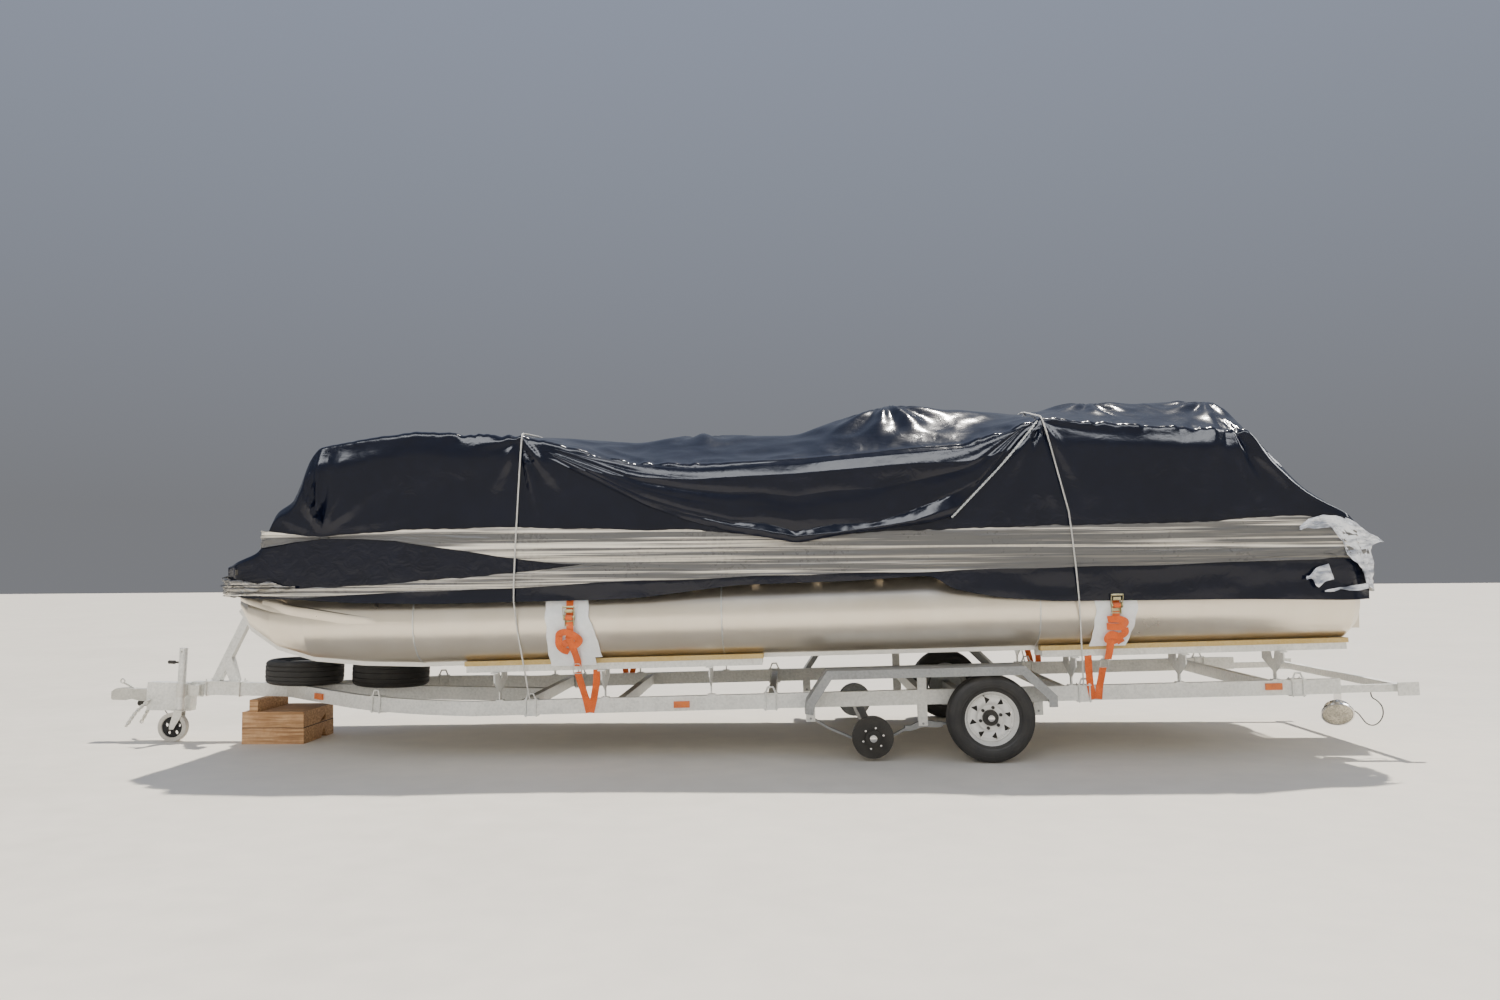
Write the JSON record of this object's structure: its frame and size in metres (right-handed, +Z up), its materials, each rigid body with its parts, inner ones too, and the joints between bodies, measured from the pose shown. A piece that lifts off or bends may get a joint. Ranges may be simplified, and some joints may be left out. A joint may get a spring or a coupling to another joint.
{
  "type": "covered pontoon boat on trailer",
  "caption": "Two-tube pontoon boat wrapped in black plastic sheet and clear film, strapped on a galvanised twin-axle trailer with its jockey stand down.",
  "frame": {"origin": "middle of the whole part's footprint, on the floor under the tyres", "axes": "+X towards the stern along the trailer, +Z up, -Y on the side of the jockey stand"},
  "size_m": [9.5, 2.536, 2.462],
  "materials": {
    "galvanised": "galvanised",
    "galvanised_dark": "dull galvanised sheet",
    "zinc": "zinc plated",
    "cast_zinc": "plated",
    "black_steel": "satin black",
    "rim_white": "gloss white",
    "tyre": "worn",
    "timber": "sawn",
    "bunk_ochre": "dull",
    "cover_black": "gloss sheet",
    "film": "clear stretched",
    "rope_white": "braided",
    "pad_white": "foam sheet",
    "web_orange": "woven",
    "aluminium": "mill",
    "aluminium_light": "satin",
    "chrome": "bright",
    "lens_cream": "clear over a pale reflector",
    "amber": "reflector",
    "rubber": "matt",
    "jockey_rubber": "dusty"
  },
  "bodies": {
    "trailer_and_boat": {"rail_left": "galvanised", "rail_right": "galvanised", "drawbar": "galvanised", "coupling_block": "galvanised", "ball_coupler": "cast_zinc", "coupler_bellows": "rubber", "safety_chains": "zinc", "cross_members": "galvanised", "winch_post": "galvanised", "bow_stop": "rubber", "bunk_supports": "galvanised", "bunk_channels": "galvanised", "bunk_boards": "bunk_ochre", "fender_left": "galvanised_dark", "fender_right": "galvanised_dark", "spring_hangers": "galvanised", "leaf_springs": "galvanised_dark", "axle_front": "galvanised_dark", "axle_rear": "galvanised_dark", "stowed_tyres": "tyre", "stowed_rims": "rim_white", "timber_blocks": "timber", "jockey_clamp": "zinc", "light_bar": "galvanised", "side_markers": "amber", "tie_down_brackets": "galvanised", "u_bolts": "zinc", "tail_lamp": "chrome", "lamp_lens": "lens_cream", "pontoon_left": "aluminium", "pontoon_right": "aluminium", "keel_strips": "aluminium_light", "deck_panel": "timber", "deck_beams": "aluminium", "deck_risers": "aluminium", "motor_pod": "aluminium", "cover": "cover_black", "skirt": "cover_black", "film_bands": "film", "ropes": "rope_white", "strap_pads": "pad_white", "ratchet_straps": "web_orange", "ratchets": "zinc", "lamp_cable": "rubber", "plug_cable": "rubber", "plug": "black_steel"},
    "wheel_left": {"hub_rear_left": "black_steel", "rim_left": "rim_white", "tyre_left": "tyre"},
    "wheel_right": {"hub_rear_right": "black_steel", "rim_right": "rim_white", "tyre_right": "tyre"},
    "bare_hub_left": {"hub_front_left": "black_steel"},
    "bare_hub_right": {"hub_front_right": "black_steel"},
    "jockey_stand": {"jockey_tube": "galvanised", "jockey_crank": "black_steel"},
    "jockey_screw": {"jockey_leg": "zinc"},
    "jockey_caster": {"jockey_fork": "zinc"},
    "jockey_roller": {"jockey_wheel": "jockey_rubber"}
  },
  "joints": [
    {"name": "rear_wheel_left_spin", "type": "hinge", "parent": "trailer_and_boat", "child": "wheel_left", "pos_m": [1.86591, -1.15, 0.289], "axis": [0, 1, 0], "continuous": true},
    {"name": "rear_wheel_right_spin", "type": "hinge", "parent": "trailer_and_boat", "child": "wheel_right", "pos_m": [1.86591, 1.15, 0.289], "axis": [0, 1, 0], "continuous": true},
    {"name": "front_hub_left_spin", "type": "hinge", "parent": "trailer_and_boat", "child": "bare_hub_left", "pos_m": [1.08758, -1.15, 0.15799], "axis": [0, 1, 0], "continuous": true},
    {"name": "front_hub_right_spin", "type": "hinge", "parent": "trailer_and_boat", "child": "bare_hub_right", "pos_m": [1.08758, 1.15, 0.15799], "axis": [0, 1, 0], "continuous": true},
    {"name": "jockey_tube_lift", "type": "slide", "parent": "trailer_and_boat", "child": "jockey_stand", "axis": [0.0436, 0, 0.999], "range_m": [0, 0.085]},
    {"name": "jockey_screw_extend", "type": "slide", "parent": "jockey_stand", "child": "jockey_screw", "axis": [-0.0436, 0, -0.999], "range_m": [0, 0.2]},
    {"name": "jockey_caster_swivel", "type": "hinge", "parent": "jockey_screw", "child": "jockey_caster", "pos_m": [-4.15428, -0.125, 0.23821], "axis": [0.0436, 0, 0.999], "continuous": true},
    {"name": "jockey_wheel_spin", "type": "hinge", "parent": "jockey_caster", "child": "jockey_roller", "pos_m": [-4.20492, -0.125, 0.11], "axis": [0, 1, 0], "continuous": true}
  ]
}
